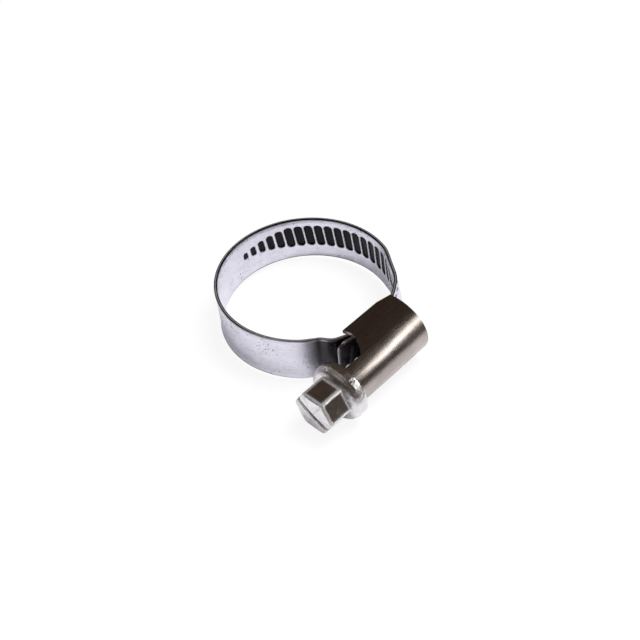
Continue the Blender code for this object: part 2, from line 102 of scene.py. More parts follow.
TIP_STRETCH = 6.0 * MM  # length over which the tip is drawn back to its outline
LINE_STEP = 0.1  # degrees between the line's points

# Stretches of psi over which the band's surface changes
THIN_FADES = 38.0, 47.0
CURL_GROWS = 42.0, 50.0
LEAN_GROWS, LEAN_FADES = (290.0, 318.0), (339.0, 352.0)
# The outside's painted shade fades out past the housing and returns at the tip.
PAINTED_SHADE_FADES, PAINTED_SHADE_RETURNS = (37.0, 48.0), (346.0, 360.0)
EDGE_LINE_RETURNS = 62.0, 96.0
DIE_CUT = 354.0, 360.0
# Before the housing the lower edge stands out this far, and the upper one this much less
LOWER_OUT, UPPER_LESS = 0.45 * MM, 1.08 * MM

# The row of pressed ribs
ROW_END = 178.0  # psi where the row begins
ROW_TAPER = 5  # ribs that run out there
SMALLEST_RIB = 0.35  # share of full size
PITCH_RADIUS = 17.625 * MM  # where ribs and worm mesh, from the tail's centre
RIB_FLANK = 0.36 * MM  # width of a rib's sloping side
RIB_NARROWER = 0.45 * MM  # a rib's outside against its hollow
HOLLOW_DEEPER = 0.06 * MM  # a hollow's depth over its rib's height
FIXED_THINNER = 0.06 * MM  # leaves room for the tip to slide over the fixed end

# The screw, in millimetres
SCREW_Y = next(j for j in frame["joints"] if j["name"] == "screw_turn")["pos_m"][1]
WORM_RADIUS, WORM_CORE, NECK_RADIUS = 2.4, 1.85, 1.8
WORM_START, WORM_END = -10.35, 4.1
THREAD_FOOT, THREAD_TIP = 0.95, 0.35
THREAD_ROOT = WORM_CORE - 0.25  # the thread starts inside the core
THREAD_LEAD = 0.1
FLANGE_BACK, FLANGE_RIM, FLANGE_DOME, FLANGE_RADIUS = -11.65, 1.7, 1.1, 5.1
FLANGE_FLAT = 3.2  # radius where the dome begins
HEX_SEAT, HEX_END, HEX_DOME = -14.1, -19.25, 0.3
HEX_FOOT, HEX_TOP = -14.6, -18.6  # where the flats end
HEX_RIM = -18.75  # middle of the rounded end edge
HEX_EDGE = 0.4  # rounding of that edge
HEX_TURN = 30.5  # a corner's angle from +Z toward -Y
SLOT_DEPTH, SLOT_WIDTH, SLOT_LENGTH = 1.3, 1.0, 14.0
SLOT_TURN = 118.0  # nearly from flat to flat

# The stage
FLOOR_HALF = 1.5
FLOOR_DROP = 0.02 * MM
LENS, SENSOR = 53.94, 36.0
CAMERA_PLACE = (-81.84, -90.89, 116.56)
CAMERA_TURN = (-42.9, 45.24265, -5.618625)  # azimuth, elevation and roll
# Name, azimuth, elevation, distance and size in metres, watts, mirrored in the steel or not
LAMPS = (
    ("softbox", -51.0, 26.5, 0.5, (0.34, 0.115), 0.64, True),
    ("back_card", 98.0, 20.0, 0.5, (0.24, 0.16), 0.16, True),
    ("left_card", 165.0, 60.0, 0.5, (0.3, 0.26), 0.17, True),
    ("overhead", -40.0, 70.0, 0.6, (0.3, 0.3), 3.7, False),
)


def linear(code):
    """An sRGB hex colour as linear values."""
    parts = [int(code[i:i + 2], 16) / 255 for i in (1, 3, 5)]
    return tuple(c / 12.92 if c <= 0.04045 else ((c + 0.055) / 1.055) ** 2.4 for c in parts)


def length(name, text, millimetres):
    return FloatProperty(name=name, description=text, default=millimetres * MM,
                         unit="LENGTH", precision=5)


def colour(name, text, code):
    return FloatVectorProperty(name=name, description=text, default=linear(code),
                               subtype="COLOR", min=0.0, max=1.0)


class ClampSizes(bpy.types.PropertyGroup):
    """Sizes that a user may change without leaving the solids."""
    thickness: length("Band thickness", "Sheet thickness of the band", 0.6)
    rim_round: length("Rim rounding", "Rounding along the band's edges", 0.2)
    rim_curl: length("Rim curl", "How far the band's edges turn away from the hose", 0.14)
    pitch: length("Pitch", "Spacing of the pressed ribs on the worm's side", 1.95)
    rib_width: length("Rib width", "Width of a rib at its foot", 1.82)
    rib_length: length("Rib length", "Length of a rib across the band", 4.8)
    rib_height: length("Rib height", "How far a rib stands out of the band", 0.24)
    rib_offset: length("Row offset", "Middle of the row above the band's middle", 0.7)
    tip_corner: length("Tip corner", "Corner radius of the free end", 2.2)
    station: length("Station", "Longest step along the band between two sections", 0.11)
    edge_round: length("Housing edge", "Rounding of the housing's cut edges", 0.1)
    hex_flats: length("Across flats", "Size of the screw's hexagon", 7.0)
    hex_corner: length("Hexagon corner", "Corner radius of the hexagon", 0.55)


class ClampColours(bpy.types.PropertyGroup):
    """Colours of the finishes and of the stage."""
    strip: colour("Strip", "Bright rolled strip of the band", "#DEDCE5")
    # Near black of the hollows, also the painted shade beside the housing and at the tip.
    hollow_and_shade_colour: colour("Pressing", "Dark film left in the pressed hollows", "#0E0C0F")
    # A dark line along both corners of the band's cut edges.
    edge_line: colour("Burr", "Dark burr line along the band's cut edges", "#121010")
    housing: colour("Housing", "Smooth darkened sheet of the housing", "#A49B95")
    zinc: colour("Zinc", "Bright zinc on the screw", "#D9D7D6")
    floor: colour("Floor", "Pale floor", "#F7F6F9")
    room: colour("Room", "Dim room that the bright steel mirrors", "#483C34")
    soft_light: colour("Soft light", "Even light from all round", "#9E9EA4")


def sizes():
    return bpy.context.scene.clamp_sizes


def colours():
    return bpy.context.scene.clamp_colours


# The band's line round the hose

def rise(value, low, high):
    """0 up to low, 1 from high on, and a smooth curve between."""
    t = np.clip((value - low) / (high - low), 0.0, 1.0)
    return t * t * (3.0 - 2.0 * t)


def fixed_radius(psi):
    """Inner face of the fixed end: flat on the saddle, then raised over the tail's tip."""
    raised = RING_RADIUS + RAISED_EXTRA
    flat = -FIXED_IN / np.cos(np.radians(np.minimum(psi, 60.0)))
    low = flat + rise(psi, SEAT_ANGLE, LIFT_ANGLE) * (raised - flat)
    return low + rise(psi, JOGGLE_START, JOGGLE_END) * (RING_RADIUS - low)


def tail_radius(psi):
    """Inner face of the free end, on its own circle."""
    a = np.radians(psi)
    c = -np.sin(a) * TAIL_CENTRE.x - np.cos(a) * TAIL_CENTRE.y
    return c + np.sqrt(c * c - TAIL_CENTRE.length_squared + TAIL_RADIUS ** 2)


def inner_radius(psi):
    """Distance from the hose axis to the band's inner face, from the fixed end to the tip."""
    share = rise(psi, TAIL_LEAVES, TAIL_JOINS)
    moving = RING_RADIUS + share * (tail_radius(psi) - RING_RADIUS)
    return np.where(psi < FIXED_LIMIT, fixed_radius(psi), moving)


class BandLine:
    """The band's inner line as places and outward directions against distance along it."""

    def __init__(self, start, end, thickness):
        self.psi = np.arange(start, end + LINE_STEP / 2, LINE_STEP)
        self.psi[-1] = end
        a = np.radians(self.psi)
        r = inner_radius(self.psi)
        self.x, self.y = -np.sin(a) * r, -np.cos(a) * r
        tx, ty = np.gradient(self.x), np.gradient(self.y)
        size = np.hypot(tx, ty)
        self.nx, self.ny = ty / size, -tx / size
        flip = np.sign(self.nx * self.x + self.ny * self.y)
        self.nx, self.ny = self.nx * flip, self.ny * flip
        half = thickness / 2
        mx, my = self.x + self.nx * half, self.y + self.ny * half
        steps = np.hypot(np.diff(mx), np.diff(my))
        self.along = np.concatenate(([0.0], np.cumsum(steps)))

    def distance(self, psi):
        return float(np.interp(psi, self.psi, self.along))

    def place(self, along, level, across):
        """Points at a distance along the band, a height over its inner face and across it."""
        at = [np.interp(along, self.along, v) for v in (self.x, self.y, self.nx, self.ny)]
        return np.stack((at[0] + at[2] * level, at[1] + at[3] * level, across), axis=1)


def psi_of(point):
    return math.degrees(math.atan2(-point[0], -point[1])) % 360.0


def hinge_psis():
    """Psi of each bend between two of the band's lengths."""
    bends = [j for j in frame["joints"] if j["name"].startswith("band_bend")]
    return [psi_of(j["pos_m"]) for j in bends]


def band_ends():
    """Psi of the fixed end's start and of the free end's tip."""
    start = -math.degrees(math.atan2(FIXED_END_X, -FIXED_IN))
    a = math.radians(TIP_REACH)
    tip = TAIL_CENTRE - TAIL_RADIUS * Vector((math.sin(a), math.cos(a)))
    return start, 360.0 + psi_of(tip)


# Making meshes

def finished(name, bm, body=None):
    """A named smooth object from a closed mesh, its faces turned outward, riding on a body."""
    bmesh.ops.remove_doubles(bm, verts=bm.verts, dist=WELD)
    bmesh.ops.recalc_face_normals(bm, faces=bm.faces)
    mesh = bpy.data.meshes.new(name)
    bm.to_mesh(mesh)
    bm.free()
    mesh.polygons.foreach_set("use_smooth", [True] * len(mesh.polygons))
    obj = bpy.data.objects.new(name, mesh)
    bpy.context.collection.objects.link(obj)
    if body:
        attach(obj, body)
    return obj


def points_of(mesh):
    co = np.empty(len(mesh.vertices) * 3)
    mesh.vertices.foreach_get("co", co)
    return co.reshape(-1, 3)


def store(mesh, name, values):
    """A value at each point of a mesh, for its finish to read."""
    made = mesh.attributes.new(name, "FLOAT", "POINT")
    made.data.foreach_set("value", values.astype(np.float32))


def rib_middles(line):
    """Distance along the band and share of full size for each pressed rib."""
    s = sizes()
    spacing = s.pitch * (TAIL_RADIUS + s.thickness / 2) / PITCH_RADIUS
    lowest = line.distance(360.0 + psi_of((TAIL_CENTRE.x, TAIL_CENTRE.y - TAIL_RADIUS)))
    first = line.distance(ROW_END)
    middles = [lowest + spacing * (k + 0.5) for k in range(-60, 3)]
    middles = [m for m in middles if m > first]
    return [(m, min(1.0, SMALLEST_RIB + (1.0 - SMALLEST_RIB) * i / ROW_TAPER))
            for i, m in enumerate(middles)]


def pressed(along, across, ribs, narrower=0.0):
    """0 on the flat band and 1 in the bottom of a pressed hollow."""
    s = sizes()
    lean = s.pitch / (2 * math.pi * WORM_RADIUS * MM)
    depth = np.zeros(len(along))
    for middle, share in ribs:
        # The ribs that run out are also narrower and shallower.
        hu = (s.rib_width - narrower) / 2 * (0.62 + 0.38 * share)
        hv = s.rib_length / 2 * share
        r = 0.85 * min(hu, hv)
        u = along - middle + lean * (across - s.rib_offset)
        v = across - s.rib_offset
        du, dv = np.abs(u) - hu + r, np.abs(v) - hv + r
        d = np.hypot(np.maximum(du, 0), np.maximum(dv, 0)) + np.minimum(np.maximum(du, dv), 0) - r
        depth = np.maximum(depth, rise(-d, 0.0, RIB_FLANK) * (0.55 + 0.45 * share))
    return depth


def flat_sheet(name, columns, rows, thick):
    """A flat sheet of a thickness, cut at the given columns along X and rows along Y."""
    bm = bmesh.new()
    uv = bm.loops.layers.uv.new("strip")
    bmesh.ops.create_grid(bm, x_segments=len(columns) - 1, y_segments=len(rows) - 1, size=0.5)
    for v in bm.verts:
        v.co.x = columns[round((v.co.x + 0.5) * (len(columns) - 1))]
        v.co.y = rows[round((v.co.y + 0.5) * (len(rows) - 1))]
    bmesh.ops.solidify(bm, geom=bm.faces[:], thickness=thick)
    lowest = min(v.co.z for v in bm.verts)
    for v in bm.verts:
        v.co.z = 0.0 if v.co.z - lowest < thick / 2 else thick
    for face in bm.faces:
        for loop in face.loops:
            loop[uv].uv = loop.vert.co.xy
    return finished(name, bm)


def round_tip(along, across, end):
    """Draws the last stretch back to round corners, and gives the distance to the edge."""
    half, corner = BAND_WIDTH / 2, sizes().tip_corner
    beyond = np.maximum(np.abs(across) - (half - corner), 0.0)
    outline = end - corner + np.sqrt(np.maximum(corner ** 2 - beyond ** 2, 0.0))
    share = np.clip((along - (end - TIP_STRETCH)) / TIP_STRETCH, 0.0, 1.0)
    along = along - share * (end - outline)
    in_corner = (beyond > 0) & (along > end - corner)
    to_arc = corner - np.hypot(beyond, along - (end - corner))
    to_side = np.minimum(half - np.abs(across), end - along)
    return along, np.where(in_corner, to_arc, to_side)


def strip_values(mesh, psi, inner, depth, from_edge, layer):
    """Writes what the finish reads: hollows and painted shade, cut edge, edge line, place in
    sheet.
    """
    # Painted shade: the outside is darkened beside the housing and at the tip under the
    # screw, standing in for the dark reflections there.
    painted_shade = 0.9 * (1.0 - rise(psi, *PAINTED_SHADE_FADES)) + 0.75 * rise(psi, *PAINTED_SHADE_RETURNS)
    painted_shade = painted_shade * rise(from_edge / MM, 0.15, 0.55)
    store(mesh, "pressed", np.where(inner, rise(depth, 0.04, 0.34), painted_shade))
    # The tip is die-cut and has no dark edge line, so it counts as far from the edge.
    store(mesh, "from_edge", from_edge / MM + 5.0 * rise(psi, *DIE_CUT))
    # The outer edge line is faint beside the housing and grows stronger further round.
    store(mesh, "edge_line", np.where(inner, 1.0, 0.1 + 0.8 * rise(psi, *EDGE_LINE_RETURNS)))
    store(mesh, "layer", layer)


def strip(name, line, start, end, ribs, tip):
    """One length of the band: a flat sheet with rounded rims, pressed and bent to its line."""
    s = sizes()
    thick, half, rim = s.thickness, BAND_WIDTH / 2, s.rim_round
    low, high = line.distance(start), line.distance(end)
    turns = np.sin(np.radians([0, 22.5, 45, 67.5, 90]))
    flat = np.linspace(-half + rim, half - rim, 67)
    rows = np.concatenate((-half + rim - rim * turns[:0:-1], flat, half - rim + rim * turns[1:]))
    last = high - rim if tip else high
    columns = np.linspace(low, last, max(3, math.ceil((last - low) / s.station)) + 1)
    if tip:
        columns = np.concatenate((columns, last + rim * turns[1:]))
    obj = flat_sheet(name, columns, rows, thick)
    co = points_of(obj.data)
    along, across, inner = co[:, 0], co[:, 1], co[:, 2] < thick / 2
    from_edge = half - np.abs(across)
    if tip:
        along, from_edge = round_tip(along, across, high)
    psi = np.interp(along, line.along, line.psi)
    curve = np.clip(rim - from_edge, 0.0, rim)
    rounding = rim - np.sqrt(np.maximum(rim ** 2 - curve ** 2, 0.0))
    hollow = pressed(along, across, ribs)
    depth = np.where(inner, hollow, pressed(along, across, ribs, RIB_NARROWER))
    level = np.where(inner, rounding + (s.rib_height + HOLLOW_DEEPER) * depth,
                     thick - rounding + s.rib_height * depth)
    level = level - np.where(inner, 0.0, FIXED_THINNER * (1.0 - rise(psi, *THIN_FADES)))
    curl = rise(np.abs(across), 3.5 * MM, 4.5 * MM) * rise(psi, *CURL_GROWS)
    lean = rise(psi, *LEAN_GROWS) * (1.0 - rise(psi, *LEAN_FADES))
    level = level + s.rim_curl * curl
    level = level + lean * (LOWER_OUT - UPPER_LESS * rise(across, -half, half))
    obj.data.vertices.foreach_set("co", line.place(along, level, across).ravel())
    layer = np.where(inner, rounding / thick, 1.0 - rounding / thick)
    strip_values(obj.data, psi, inner, depth, from_edge, layer)
    obj.data.update()
    obj.data.set_sharp_from_angle(angle=math.radians(60.0))
    return obj


def spun(name, profile, steps):
    """A turned piece round the screw's axis from (x, radius) points in millimetres."""
    bm = bmesh.new()
    verts = [bm.verts.new((x * MM, SCREW_Y + r * MM, 0.0)) for x, r in profile]
    edges = [bm.edges.new(pair) for pair in zip(verts, verts[1:])]
    bmesh.ops.spin(bm, geom=verts + edges, cent=(0, SCREW_Y, 0), axis=(1, 0, 0),
                   angle=2 * math.pi, steps=steps, use_merge=True, use_duplicate=False)
    return finished(name, bm)


def joined(name, parts, body):
    """Several meshes as one object on a body, in place of the single ones."""
    bm = bmesh.new()
    for part in parts:
        bm.from_mesh(part.data)
    obj = finished(name, bm, body)
    for part in parts:
        bpy.data.objects.remove(part)
    return obj


def flange():
    """Domed toward the hexagon, with a rounded rim and a flat back."""
    front, rim, dome = FLANGE_BACK - FLANGE_RIM, FLANGE_RADIUS, FLANGE_RADIUS - FLANGE_FLAT - 0.15
    profile = [(front - 0.25, 0.0)]
    for step in range(0, 91, 10):
        a = math.radians(step)
        profile.append((front - FLANGE_DOME * math.cos(a), FLANGE_FLAT + dome * math.sin(a)))
    profile += [(front + 0.1, rim - 0.08), (front + 0.25, rim - 0.02), (front + 0.4, rim)]
    profile += [(FLANGE_BACK - 0.25, rim), (FLANGE_BACK - 0.1, rim - 0.04),
                (FLANGE_BACK - 0.02, rim - 0.12), (FLANGE_BACK, rim - 0.25)]
    profile += [(FLANGE_BACK, NECK_RADIUS), (FLANGE_BACK, 0.0)]
    return spun("flange", profile, 128)


def core():
    """The neck and the worm's core, with a rounded far end."""
    neck = FLANGE_BACK - 0.25
    profile = [(neck, 0.0), (neck, NECK_RADIUS), (WORM_START - 0.1, NECK_RADIUS),
               (WORM_START, WORM_CORE), (WORM_END - 0.4, WORM_CORE),
               (WORM_END - 0.15, WORM_CORE - 0.1), (WORM_END, WORM_CORE - 0.35), (WORM_END, 0.0)]
    return spun("core", profile, 72)


def worm_ridge():
    """Right-hand ridge wound along the screw, a crest facing +Y at the tail's low point."""
    s = sizes()
    steps = 36
    start, end = WORM_START + THREAD_FOOT / 2 + 0.1, WORM_END - THREAD_FOOT / 2 - 0.4
    count = int((end - start) * MM / s.pitch * steps)
    phase = ((start - THREAD_LEAD) * MM - TAIL_CENTRE.x) / s.pitch * 2 * math.pi
    foot, tip = THREAD_FOOT / 2, THREAD_TIP / 2
    # Small flats round the crest's corners.
    half = [(foot, THREAD_ROOT), (tip + 0.08, WORM_RADIUS - 0.09), (tip - 0.03, WORM_RADIUS)]
    section = [(-dx, r) for dx, r in half] + half[::-1]
    c, n = math.cos(phase), math.sin(phase)
    bm = bmesh.new()
    verts = [bm.verts.new(((start + dx) * MM, SCREW_Y + r * c * MM, r * n * MM))
             for dx, r in section]
    face = bm.faces.new(verts)
    bmesh.ops.spin(bm, geom=[face], cent=(0, SCREW_Y, 0), axis=(1, 0, 0),
                   dvec=(s.pitch / steps, 0, 0), angle=count * 2 * math.pi / steps,
                   steps=count, use_merge=False, use_duplicate=False)
    return finished("ridge", bm)


def past_corner(angle):
    """An angle, or an array of them, measured from the hexagon's nearest corner."""
    return (angle + math.pi / 6) % (math.pi / 3) - math.pi / 6


def hexagon_radius(angle):
    """Distance from the axis to a hexagon with rounded corners, a corner at angle 0."""
    s = sizes()
    apothem, corner = s.hex_flats / 2, s.hex_corner
    a = past_corner(angle)
    centre = (apothem - corner) / math.cos(math.pi / 6)
    edge = apothem / math.cos(math.pi / 6 - abs(a))
    if edge * math.sin(math.pi / 6 - abs(a)) < (apothem - corner) * math.tan(math.pi / 6):
        return edge
    return centre * math.cos(a) + math.sqrt(max(corner ** 2 - (centre * math.sin(a)) ** 2, 0.0))


def hexagon():
    """The hexagon, its sides straight, its end edge rounded and its end domed."""
    count, edge, dome, end = 144, HEX_EDGE * MM, HEX_DOME * MM, HEX_END * MM
    far = sizes().hex_flats / 2 / math.cos(math.pi / 6)
    start = math.radians(HEX_TURN)

    def ring(verts, inset, shrink, lift, flat=None):
        for i, v in enumerate(verts):
            a = 2 * math.pi * i / count
            r = (hexagon_radius(a - start) - inset) * shrink
            x = flat if flat is not None else end + dome * (r / far) ** 2 + lift
            v.co = (x, SCREW_Y - r * math.sin(a), r * math.cos(a))

    bm = bmesh.new()
    bmesh.ops.create_circle(bm, cap_ends=False, segments=count, radius=1.0)
    loop, edges = list(bm.verts), list(bm.edges)
    ring(loop, 0.0, 1.0, 0.0, flat=HEX_SEAT * MM)
    # Close rings at both ends of the flats carry the wear.
    places = [HEX_FOOT - d for d in (0.0, 0.2, 0.4)] + [HEX_TOP + d for d in (0.4, 0.2, 0.0)]
    rings = [(0.0, 1.0, 0.0, x * MM) for x in places]
    for step in range(0, 91, 15):
        a = math.radians(step)
        rings.append((edge * (1 - math.cos(a)), 1.0, edge * (1 - math.sin(a)), None))
    rings += [(edge, share, 0.0, None) for share in (0.9, 0.8, 0.65, 0.5, 0.35, 0.2, 0.08)]
    for inset, shrink, lift, flat in rings:
        made = bmesh.ops.extrude_edge_only(bm, edges=edges)["geom"]
        new = {g for g in made if isinstance(g, bmesh.types.BMVert)}
        above = {v: next(e.other_vert(v) for e in v.link_edges if e.other_vert(v) in new)
                 for v in loop}
        loop = [above[v] for v in loop]
        ring(loop, inset, shrink, lift, flat)
        edges = [g for g in made if isinstance(g, bmesh.types.BMEdge)]
    bmesh.ops.holes_fill(bm, edges=bm.edges[:], sides=0)
    return finished("hexagon", bm)


def slot_cutter():
    """A bar across the hexagon's end, turned to the slot's direction."""
    bm = bmesh.new()
    bmesh.ops.create_cube(bm, size=1.0)
    bmesh.ops.scale(bm, vec=Vector((2 * SLOT_DEPTH, SLOT_WIDTH, SLOT_LENGTH)) * MM, verts=bm.verts)
    bmesh.ops.rotate(bm, matrix=Matrix.Rotation(math.radians(SLOT_TURN), 3, "X"), verts=bm.verts)
    bmesh.ops.translate(bm, vec=(HEX_END * MM, SCREW_Y, 0.0), verts=bm.verts)
    return finished("slot", bm)


def cut(obj, cutter):
    """Subtracts the cutter, keeps the result in the mesh and removes the cutter."""
    tool = obj.modifiers.new("cut", "BOOLEAN")
    tool.operation, tool.solver, tool.object = "DIFFERENCE", "EXACT", cutter
    bpy.context.view_layer.update()
    graph = bpy.context.evaluated_depsgraph_get()
    mesh = bpy.data.meshes.new_from_object(obj.evaluated_get(graph))
    obj.modifiers.remove(tool)
    obj.data = mesh
    bpy.data.objects.remove(cutter)


def wear(mesh):
    """Marks the hexagon's corners and end edges, where tools and tumbling wear it."""
    co = points_of(mesh)
    y, z = co[:, 1] - SCREW_Y, co[:, 2]
    a = past_corner(np.arctan2(-y, z) - math.radians(HEX_TURN))
    from_corner = np.abs(a) * 4.0 * MM  # along a circle just inside the corners
    from_ends = np.minimum(np.abs(co[:, 0] - HEX_FOOT * MM), np.abs(co[:, 0] - HEX_RIM * MM))
    worn = np.maximum(1.0 - rise(from_corner / MM, 0.22, 0.52),
                      1.0 - rise(from_ends / MM, 0.1, 0.4))
    store(mesh, "worn", worn * (co[:, 0] < (HEX_FOOT + 0.2) * MM))


def bevelled(obj, width, angle, segments, material=-1):
    edge = obj.modifiers.new("edges", "BEVEL")
    edge.width, edge.segments, edge.limit_method = width, segments, "ANGLE"
    edge.angle_limit = math.radians(angle)
    edge.material = material


# Finishes. A noise scale is given as cells in a millimetre over MM.

def add(tree, kind, inputs=(), **settings):
    """A node with its settings; each input, by name or number, takes a value or an output."""
    node = tree.nodes.new(kind)
    for key, value in settings.items():
        setattr(node, key, value)
    for key, value in dict(inputs).items():
        if isinstance(value, bpy.types.NodeSocket):
            tree.links.new(value, node.inputs[key])
        else:
            node.inputs[key].default_value = value
    return node


def started(name, rough, metal=1.0):
    mat = bpy.data.materials.new(name)
    mat.use_nodes = True
    shader = mat.node_tree.nodes["Principled BSDF"]
    shader.inputs["Metallic"].default_value = metal
    shader.inputs["Roughness"].default_value = rough
    return mat, mat.node_tree, shader


def strip_finish():
    """Cold-rolled stainless strip.

    The rolls leave it bright with fine marks along its length, and handling leaves cloudy
    patches and small pits. The hollows are coloured near black, and beside the housing
    and at the tip the outside carries painted shade.
    """
    mat, tree, shader = started("bright_rolled_strip", 0.3)
    c = colours()
    flat = add(tree, "ShaderNodeUVMap", uv_map="strip").outputs["UV"]
    solid = add(tree, "ShaderNodeTexCoord").outputs["Object"]
    # Roll marks about 4 mm long and 0.12 mm apart across the strip.
    drawn = add(tree, "ShaderNodeMapping", {"Vector": flat, "Scale": (0.26 / MM, 8.2 / MM, 1.0)})
    lines = add(tree, "ShaderNodeTexNoise", {"Vector": drawn.outputs["Vector"], "Scale": 1.0,
                                             "Detail": 3.0, "Roughness": 0.6}).outputs["Fac"]
    # Cloudy patches of handling, about 2.5 mm across.
    cloud = add(tree, "ShaderNodeTexNoise", {"Vector": solid, "Scale": 0.4 / MM, "Detail": 4.0,
                                             "Roughness": 0.55}).outputs["Fac"]
    # Pits and specks about 0.4 mm apart, thickest in patches of about 8 mm.
    cells = add(tree, "ShaderNodeTexNoise", {"Vector": solid, "Scale": 2.6 / MM, "Detail": 2.0,
                                             "Roughness": 0.5}).outputs["Fac"]
    patch = add(tree, "ShaderNodeTexNoise", {"Vector": solid, "Scale": 0.13 / MM, "Detail": 2.0,
                                             "Roughness": 0.6}).outputs["Fac"]
    patch = add(tree, "ShaderNodeMapRange", {"Value": patch, "From Min": 0.5, "From Max": 0.66,
                                             "To Max": 0.11}).outputs["Result"]
    cells = add(tree, "ShaderNodeMath", {0: cells, 1: patch}, operation="ADD").outputs[0]
    pits = add(tree, "ShaderNodeMapRange", {"Value": cells, "From Min": 0.66,
                                            "From Max": 0.74}).outputs["Result"]
    shade = add(tree, "ShaderNodeMapRange", {"Value": lines, "From Min": 0.25, "From Max": 0.75,
                                             "To Min": 0.82, "To Max": 1.06}).outputs["Result"]
    shade2 = add(tree, "ShaderNodeMapRange", {"Value": cloud, "From Min": 0.3, "From Max": 0.7,
                                              "To Min": 0.86, "To Max": 1.05}).outputs["Result"]
    speck = add(tree, "ShaderNodeMapRange", {"Value": pits, "To Min": 1.0,
                                             "To Max": 0.4}).outputs["Result"]
    both = add(tree, "ShaderNodeMath", {0: shade, 1: shade2}, operation="MULTIPLY").outputs[0]
    both = add(tree, "ShaderNodeMath", {0: both, 1: speck}, operation="MULTIPLY").outputs[0]
    tone = add(tree, "ShaderNodeVectorMath", {0: tuple(c.strip), "Scale": both}, operation="SCALE")
    # Near black in the hollows; on the outside, painted shade beside the housing and at the tip.
    hollow_and_shade_mask = add(tree, "ShaderNodeAttribute", attribute_name="pressed").outputs["Fac"]
    hollow_and_shade_mask = add(tree, "ShaderNodeMapRange", {"Value": hollow_and_shade_mask, "To Max": 0.985}).outputs["Result"]
    mix = add(tree, "ShaderNodeMix", {0: hollow_and_shade_mask, 6: tone.outputs[0], 7: (*c.hollow_and_shade_colour, 1.0)},
              data_type="RGBA")
    # A dark line runs along both corners of the band's edge.
    edge = add(tree, "ShaderNodeAttribute", attribute_name="from_edge").outputs["Fac"]
    layer = add(tree, "ShaderNodeAttribute", attribute_name="layer").outputs["Fac"]
    side = add(tree, "ShaderNodeMath", {0: layer, 1: 0.5}, operation="SUBTRACT").outputs[0]
    side = add(tree, "ShaderNodeMath", {0: side}, operation="ABSOLUTE").outputs[0]
    side = add(tree, "ShaderNodeMapRange", {"Value": side, "From Min": 0.12,
                                            "From Max": 0.2}).outputs["Result"]
    near = add(tree, "ShaderNodeMapRange", {"Value": edge, "From Min": 0.18, "From Max": 0.4,
                                            "To Min": 0.96, "To Max": 0.0}).outputs["Result"]
    edge_line = add(tree, "ShaderNodeMath", {0: side, 1: near}, operation="MULTIPLY").outputs[0]
    left = add(tree, "ShaderNodeAttribute", attribute_name="edge_line").outputs["Fac"]
    edge_line = add(tree, "ShaderNodeMath", {0: edge_line, 1: left}, operation="MULTIPLY").outputs[0]
    mix = add(tree, "ShaderNodeMix", {0: edge_line, 6: mix.outputs[2], 7: (*c.edge_line, 1.0)},
              data_type="RGBA")
    tree.links.new(mix.outputs[2], shader.inputs["Base Color"])
    # Between the dark lines the sheared face is matt.
    wall = add(tree, "ShaderNodeMath", {0: 1.0, 1: side}, operation="SUBTRACT").outputs[0]
    matt = add(tree, "ShaderNodeMath", {0: wall, 1: near}, operation="MULTIPLY").outputs[0]
    metal = add(tree, "ShaderNodeMapRange", {"Value": matt, "To Min": 1.0, "To Max": 0.8})
    tree.links.new(metal.outputs["Result"], shader.inputs["Metallic"])
    rough = add(tree, "ShaderNodeMapRange", {"Value": cloud, "From Min": 0.3, "From Max": 0.7,
                                             "To Min": 0.24, "To Max": 0.36})
    tree.links.new(rough.outputs["Result"], shader.inputs["Roughness"])
    height = add(tree, "ShaderNodeMath", {0: lines, 1: pits}, operation="SUBTRACT").outputs[0]
    bump = add(tree, "ShaderNodeBump", {"Height": height, "Strength": 0.35, "Distance": 0.02 * MM})
    tree.links.new(bump.outputs["Normal"], shader.inputs["Normal"])
    return mat


def housing_finish():
    """Smooth polished sheet, folded in a press.

    It mirrors the dim room and the lamp almost cleanly, with faint draw marks along
    the screw's direction and slow swells.
    """
    mat, tree, shader = started("polished_pressed_sheet", 0.2)
    solid = add(tree, "ShaderNodeTexCoord").outputs["Object"]
    # Draw marks along X, about 0.2 mm apart.
    drawn = add(tree, "ShaderNodeMapping", {"Vector": solid,
                                            "Scale": (0.18 / MM, 5.2 / MM, 5.2 / MM)})
    lines = add(tree, "ShaderNodeTexNoise", {"Vector": drawn.outputs["Vector"], "Scale": 1.0,
                                             "Detail": 2.0, "Roughness": 0.5}).outputs["Fac"]
    # Slow swells of the sheet, about 3 mm across.
    swell = add(tree, "ShaderNodeTexNoise", {"Vector": solid, "Scale": 0.33 / MM, "Detail": 3.0,
                                             "Roughness": 0.5}).outputs["Fac"]
    shade = add(tree, "ShaderNodeMapRange", {"Value": swell, "From Min": 0.3, "From Max": 0.7,
                                             "To Min": 0.86, "To Max": 1.04}).outputs["Result"]
    tone = add(tree, "ShaderNodeVectorMath", {0: tuple(colours().housing), "Scale": shade},
               operation="SCALE")
    tree.links.new(tone.outputs[0], shader.inputs["Base Color"])
    rough = add(tree, "ShaderNodeMapRange", {"Value": lines, "From Min": 0.3, "From Max": 0.7,
                                             "To Min": 0.23, "To Max": 0.3})
    tree.links.new(rough.outputs["Result"], shader.inputs["Roughness"])
    both = add(tree, "ShaderNodeMath", {0: swell, 1: 9.0, 2: lines}, operation="MULTIPLY_ADD")
    bump = add(tree, "ShaderNodeBump", {"Height": both.outputs[0], "Strength": 0.3,
                                        "Distance": 0.005 * MM})
    tree.links.new(bump.outputs["Normal"], shader.inputs["Normal"])
    return mat


